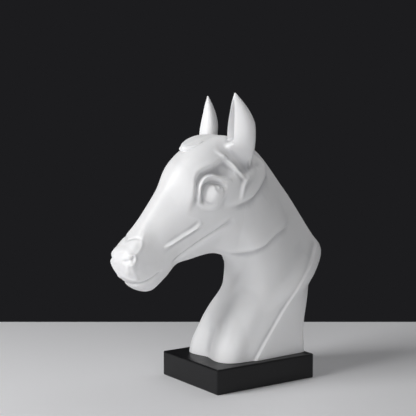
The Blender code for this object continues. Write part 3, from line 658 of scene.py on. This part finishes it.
def new_material(name):
    """An empty node material and its tree."""
    material = bpy.data.materials.new(name)
    material.use_nodes = True
    material.node_tree.nodes.clear()
    return material, material.node_tree


# Cast resin: how far the mottle shifts its tone; where the painted highlight on edges, the plain colour and
# the painted shade in grooves lie on the colour ramp, from 0 on an edge to 1 in a groove; how much smoother
# an edge and how much duller a groove is
RESIN_MOTTLE = 0.12
RESIN_SHADES = (0.2, 0.55, 1.0)
EDGE_POLISH = 0.06
GROOVE_DULLNESS = 0.08
# Its relief: the grain's height beside the sanding's, and the strength and depth in metres of both
GRAIN_SHARE = 0.35
RESIN_RELIEF = (0.35, 0.25 * MILLIMETRE)
# Its light: the share that goes in, how far red, green and blue travel, in metres, and the bend
RESIN_GLOW = 0.06
GLOW_REACH = (1.6 * MILLIMETRE, 1.4 * MILLIMETRE, 1.2 * MILLIMETRE)
RESIN_IOR = 1.5


def cast_resin(settings):
    """White polyresin, cast and lightly sanded: a dry matte skin that glows a little, with painted shade
    that greys the grooves, a painted highlight that lightens the raised edges, and smoother on the
    edges that hands touch. The grit of the sanding, 0.2 mm, is too fine to show and is drawn as a
    grain of about 1 mm."""
    material, tree = new_material("cast_polyresin")
    place = add(tree, "ShaderNodeTexCoord").outputs["Object"]
    # How deep in a hollow each point lies: it sets the painted shade in grooves and the painted highlight
    # on edges
    hollow = add(tree, "ShaderNodeAttribute", attribute_name="hollow")
    cloud = add(tree, "ShaderNodeTexNoise",
                {"Vector": place, "Scale": 1 / settings.mottle_width, "Detail": 3.0})
    mottle = add(tree, "ShaderNodeMapRange",
                 {"Value": cloud.outputs["Fac"], "To Min": -RESIN_MOTTLE, "To Max": RESIN_MOTTLE})
    shade = add(tree, "ShaderNodeMath", {0: hollow.outputs["Fac"], 1: mottle.outputs["Result"]},
                operation="ADD")
    colour = add(tree, "ShaderNodeValToRGB", {"Fac": shade.outputs["Value"]})
    ramp = colour.color_ramp.elements
    ramp.new(RESIN_SHADES[1])
    # Painted highlight on the raised edges, plain resin colour, painted shade in the grooves
    colours = (settings.painted_edge_highlight, settings.resin_colour, settings.painted_groove_shade)
    for element, position, shade_colour in zip(ramp, RESIN_SHADES, colours):
        element.position = position
        element.color = (*shade_colour, 1.0)
    rough = add(tree, "ShaderNodeMapRange",
                {"Value": shade.outputs["Value"], "To Min": settings.roughness - EDGE_POLISH,
                 "To Max": settings.roughness + GROOVE_DULLNESS})
    grain = add(tree, "ShaderNodeTexNoise",
                {"Vector": place, "Scale": 1 / settings.grain_width, "Detail": 2.0})
    sanding = add(tree, "ShaderNodeTexNoise",
                  {"Vector": place, "Scale": 1 / settings.sanding_width, "Detail": 2.0})
    relief = add(tree, "ShaderNodeMath",
                 {0: grain.outputs["Fac"], 1: GRAIN_SHARE, 2: sanding.outputs["Fac"]},
                 operation="MULTIPLY_ADD")
    bump = add(tree, "ShaderNodeBump",
               {"Height": relief.outputs["Value"], "Strength": RESIN_RELIEF[0],
                "Distance": RESIN_RELIEF[1]})
    shader = add(tree, "ShaderNodeBsdfPrincipled",
                 {"Base Color": colour.outputs["Color"], "Roughness": rough.outputs["Result"],
                  "Normal": bump.outputs["Normal"], "IOR": RESIN_IOR, "Subsurface Weight": RESIN_GLOW,
                  "Subsurface Radius": GLOW_REACH, "Subsurface Scale": 1.0})
    add(tree, "ShaderNodeOutputMaterial", {"Surface": shader.outputs["BSDF"]})
    return material


# Satin paint: how much glossier and how much duller it is in places, the strength and depth in metres of
# its orange peel, and the bend of light
PAINT_GLOSS = 0.05
PAINT_DULLNESS = 0.1
PAINT_RELIEF = (0.12, 0.1 * MILLIMETRE)
PAINT_IOR = 1.4


def satin_paint(settings):
    """Black satin paint sprayed on board: nearly black, a soft sheen with a faint orange peel, and a
    little dust that lifts it unevenly."""
    material, tree = new_material("black_satin_paint")
    place = add(tree, "ShaderNodeTexCoord").outputs["Object"]
    peel = add(tree, "ShaderNodeTexNoise",
               {"Vector": place, "Scale": 1 / settings.peel_width, "Detail": 1.0})
    dust = add(tree, "ShaderNodeTexNoise",
               {"Vector": place, "Scale": 1 / settings.dust_width, "Detail": 6.0})
    tint = add(tree, "ShaderNodeMix",
               {"Factor": dust.outputs["Fac"], "A": (*settings.paint_colour, 1.0),
                "B": (*settings.dust_colour, 1.0)}, data_type="RGBA")
    rough = add(tree, "ShaderNodeMapRange",
                {"Value": dust.outputs["Fac"], "To Min": settings.roughness - PAINT_GLOSS,
                 "To Max": settings.roughness + PAINT_DULLNESS})
    bump = add(tree, "ShaderNodeBump",
               {"Height": peel.outputs["Fac"], "Strength": PAINT_RELIEF[0], "Distance": PAINT_RELIEF[1]})
    shader = add(tree, "ShaderNodeBsdfPrincipled",
                 {"Base Color": tint.outputs["Result"], "Roughness": rough.outputs["Result"],
                  "Normal": bump.outputs["Normal"], "IOR": PAINT_IOR})
    add(tree, "ShaderNodeOutputMaterial", {"Surface": shader.outputs["BSDF"]})
    return material


BOARD_ROUGHNESS = 0.6


def table_board(settings):
    """A pale painted board, matte and plain."""
    material, tree = new_material("pale_board")
    shader = add(tree, "ShaderNodeBsdfPrincipled",
                 {"Base Color": (*settings.floor_colour, 1.0), "Roughness": BOARD_ROUGHNESS})
    add(tree, "ShaderNodeOutputMaterial", {"Surface": shader.outputs["BSDF"]})
    return material


class BustSettings(bpy.types.PropertyGroup):
    """Finish of the bust."""

    resin_colour: bpy.props.FloatVectorProperty(
        name="Resin", description="Colour of the plain surface", subtype="COLOR", min=0.0, max=1.0,
        default=linear("#EBEBEC")[:3])
    # Painted highlight: a lighter colour laid on the raised edges
    painted_edge_highlight: bpy.props.FloatVectorProperty(
        name="Edges", description="Colour of the raised edges", subtype="COLOR", min=0.0, max=1.0,
        default=linear("#F2F2F3")[:3])
    # Painted shade: a darker colour laid in the grooves
    painted_groove_shade: bpy.props.FloatVectorProperty(
        name="Grooves", description="Colour of the deepest grooves", subtype="COLOR", min=0.0, max=1.0,
        default=linear("#BABABD")[:3])
    roughness: bpy.props.FloatProperty(
        name="Roughness", description="Roughness of the plain surface", subtype="FACTOR", min=0.1,
        max=0.9, default=0.5)
    mottle_width: bpy.props.FloatProperty(
        name="Mottle", description="Width of the patches where the shade shifts a little", unit="LENGTH",
        min=MILLIMETRE, precision=4, default=35 * MILLIMETRE)
    sanding_width: bpy.props.FloatProperty(
        name="Sanding", description="Width of the waves that sanding leaves", unit="LENGTH",
        min=MILLIMETRE, precision=4, default=9 * MILLIMETRE)
    grain_width: bpy.props.FloatProperty(
        name="Grain", description="Width of the fine grain", unit="LENGTH", min=0.1 * MILLIMETRE,
        precision=4, default=1.1 * MILLIMETRE)


class PlinthSettings(bpy.types.PropertyGroup):
    """Finish of the plinth."""

    paint_colour: bpy.props.FloatVectorProperty(
        name="Paint", description="Colour of the paint", subtype="COLOR", min=0.0, max=1.0,
        default=linear("#0C0C0E")[:3])
    dust_colour: bpy.props.FloatVectorProperty(
        name="Dust", description="Colour of the paint where dust lies on it", subtype="COLOR", min=0.0,
        max=1.0, default=linear("#121214")[:3])
    roughness: bpy.props.FloatProperty(
        name="Roughness", description="Roughness of the paint", subtype="FACTOR", min=0.05, max=0.9,
        default=0.36)
    peel_width: bpy.props.FloatProperty(
        name="Orange peel", description="Width of the ripples in the paint", unit="LENGTH",
        min=0.1 * MILLIMETRE, precision=4, default=1.6 * MILLIMETRE)
    dust_width: bpy.props.FloatProperty(
        name="Dust patches", description="Width of the patches of dust", unit="LENGTH",
        min=MILLIMETRE, precision=4, default=12 * MILLIMETRE)


class StudioSettings(bpy.types.PropertyGroup):
    """Table, lights and camera."""

    floor_colour: bpy.props.FloatVectorProperty(
        name="Table", description="Colour of the table top", subtype="COLOR", min=0.0, max=1.0,
        default=linear("#EDEDEF")[:3])
    air_colour: bpy.props.FloatVectorProperty(
        name="Surroundings", description="Colour of the light from all round", subtype="COLOR", min=0.0,
        max=1.0, default=linear("#1C1C1E")[:3])
    key_power: bpy.props.FloatProperty(
        name="Key light", description="Power of the light on the horse's face", unit="POWER", min=0.0,
        default=13.8)
    fill_power: bpy.props.FloatProperty(
        name="Fill light", description="Power of the broad light from the camera's side", unit="POWER",
        min=0.0, default=6.4)
    back_power: bpy.props.FloatProperty(
        name="Back light", description="Power of the broad light from behind", unit="POWER", min=0.0,
        default=4.0)
    table_behind: bpy.props.FloatProperty(
        name="Table behind", description="How far the table reaches behind the ornament", unit="LENGTH",
        min=0.2, default=0.3)
    focal_length: bpy.props.FloatProperty(
        name="Lens", description="Focal length on a sensor 36 mm wide", unit="CAMERA", min=10.0,
        default=95.2)


# Edges sharper than this are shaded as corners
SHARP_EDGE = math.radians(65)


class ORNAMENT_OT_bust(bpy.types.Operator):
    """Cast the bust: head, neck, ears and forelock as one piece"""

    bl_idname = "ornament.bust"
    bl_label = "Cast the bust"

    def execute(self, context):
        body = closed_mesh("bust", bust_grid(), True)
        left = ear_grid(-1, LEFT_EAR_TURN, LEFT_EAR_LEAN, LEFT_EAR_DEPTH)
        right = ear_grid(1, RIGHT_EAR_TURN, RIGHT_EAR_LEAN, RIGHT_EAR_DEPTH)
        left_ear = closed_mesh("left_ear", left, False)
        right_ear = closed_mesh("right_ear", right, False)
        forelock = closed_mesh("forelock", lock_grid(), False)
        mesh = fused("horse_head_cast", [body, left_ear, right_ear, forelock])
        if len(mesh.polygons) < len(body.polygons) // 2:
            raise RuntimeError("the parts of the bust did not fuse")
        for number, rings, passes in JOIN_EASING:
            ease_join(mesh, number, rings, passes)
        fit_to_box(mesh, "horse_head")
        mark_hollows(mesh)
        mesh.materials.clear()
        mesh.materials.append(cast_resin(context.scene.bust_settings))
        mesh.polygons.foreach_set("material_index", np.zeros(len(mesh.polygons), np.int32))
        cast = placed("horse_head_cast", mesh)
        mesh.set_sharp_from_angle(angle=SHARP_EDGE)
        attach(cast, "root")
        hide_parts("horse_head")
        return {"FINISHED"}


class ORNAMENT_OT_plinth(bpy.types.Operator):
    """Paint the plinth"""

    bl_idname = "ornament.plinth"
    bl_label = "Paint the plinth"

    def execute(self, context):
        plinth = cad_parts["plinth"]
        paint = satin_paint(context.scene.plinth_settings)
        for slot in plinth.material_slots:
            slot.material = paint
        return {"FINISHED"}


# The camera: its place in metres, its azimuth from +y and its tilt, found from the plinth's edges, the
# width of its sensor in millimetres and how near it begins to see
CAMERA_PLACE = (-0.7415, -1.0134, 0.3318)
CAMERA_AZIMUTH = math.radians(-34.6)
CAMERA_TILT = math.radians(-6.13)
SENSOR_WIDTH = 36.0
CLIP_START = 0.05
# Lights: bearing from the camera's azimuth in degrees (positive to its right), height angle, distance and
# width in metres, and the place that they look at
KEY_LIGHT = (-63, 33, 1.35, 0.6)
FILL_LIGHT = (10, 10, 1.3, 1.0)
BACK_LIGHT = (140, 45, 1.4, 1.2)
LIT_PLACE = (-0.02, 0.0, 0.17)
# The table top: how far it reaches ahead of the ornament and to each side, seen from the camera
TABLE_AHEAD = 1.6
TABLE_SIDE = 2.2


def area_light(name, seat, power):
    """A square area light that looks at the ornament from a bearing, height, distance and width."""
    bearing, height, distance, width = seat
    turn = CAMERA_AZIMUTH + math.radians(bearing)
    rise = math.radians(height)
    light = bpy.data.lights.new(name, "AREA")
    light.energy = power
    light.size = width
    thing = bpy.data.objects.new(name, light)
    bpy.context.scene.collection.objects.link(thing)
    thing.location = (
        LIT_PLACE[0] + distance * math.cos(rise) * math.sin(turn),
        LIT_PLACE[1] - distance * math.cos(rise) * math.cos(turn),
        LIT_PLACE[2] + distance * math.sin(rise),
    )
    thing.rotation_euler = (math.pi / 2 - rise, 0.0, turn)


class ORNAMENT_OT_studio(bpy.types.Operator):
    """Set up the table, the lights and the camera"""

    bl_idname = "ornament.studio"
    bl_label = "Set up the studio"

    def execute(self, context):
        settings = context.scene.studio_settings
        low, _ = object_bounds()
        along, across = math.cos(CAMERA_AZIMUTH), math.sin(CAMERA_AZIMUTH)
        behind = settings.table_behind
        corners = [(-TABLE_SIDE, -TABLE_AHEAD), (TABLE_SIDE, -TABLE_AHEAD), (TABLE_SIDE, behind),
                   (-TABLE_SIDE, behind)]
        corners = [(u * along - v * across, u * across + v * along, low.z) for u, v in corners]
        mesh = bpy.data.meshes.new("table_top")
        mesh.from_pydata(corners, [], [(0, 1, 2, 3)])
        mesh.materials.append(table_board(settings))
        placed("table_top", mesh)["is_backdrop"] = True
        area_light("key_light", KEY_LIGHT, settings.key_power)
        area_light("fill_light", FILL_LIGHT, settings.fill_power)
        area_light("back_light", BACK_LIGHT, settings.back_power)
        world = bpy.data.worlds.new("studio_air")
        context.scene.world = world
        world.use_nodes = True
        world.node_tree.nodes["Background"].inputs["Color"].default_value = (*settings.air_colour, 1.0)
        lens = bpy.data.cameras.new("camera")
        lens.sensor_width = SENSOR_WIDTH
        lens.lens = settings.focal_length
        lens.clip_start = CLIP_START
        camera = bpy.data.objects.new("camera", lens)
        context.scene.collection.objects.link(camera)
        camera.location = CAMERA_PLACE
        camera.rotation_euler = (math.pi / 2 + CAMERA_TILT, 0.0, CAMERA_AZIMUTH)
        context.scene.camera = camera
        context.scene.view_settings.view_transform = "Standard"
        return {"FINISHED"}


class ORNAMENT_PT_panel(bpy.types.Panel):
    """The ornament's pieces and their settings"""

    bl_idname = "ORNAMENT_PT_panel"
    bl_label = "Horse head ornament"
    bl_space_type = "VIEW_3D"
    bl_region_type = "UI"
    bl_category = "Ornament"

    def draw(self, context):
        groups = (("bust_settings", "ornament.bust"), ("plinth_settings", "ornament.plinth"),
                  ("studio_settings", "ornament.studio"))
        for group, operator in groups:
            box = self.layout.box()
            settings = getattr(context.scene, group)
            for name in settings.__annotations__:
                box.prop(settings, name)
            box.operator(operator)


CLASSES = (BustSettings, PlinthSettings, StudioSettings, ORNAMENT_OT_bust, ORNAMENT_OT_plinth,
           ORNAMENT_OT_studio, ORNAMENT_PT_panel)


def register():
    for each in CLASSES:
        bpy.utils.register_class(each)
    bpy.types.Scene.bust_settings = bpy.props.PointerProperty(type=BustSettings)
    bpy.types.Scene.plinth_settings = bpy.props.PointerProperty(type=PlinthSettings)
    bpy.types.Scene.studio_settings = bpy.props.PointerProperty(type=StudioSettings)


def unregister():
    del bpy.types.Scene.studio_settings
    del bpy.types.Scene.plinth_settings
    del bpy.types.Scene.bust_settings
    for each in reversed(CLASSES):
        bpy.utils.unregister_class(each)


def main():
    register()
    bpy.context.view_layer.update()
    bpy.ops.ornament.bust()
    bpy.ops.ornament.plinth()
    bpy.ops.ornament.studio()


if __name__ == "__main__":
    main()
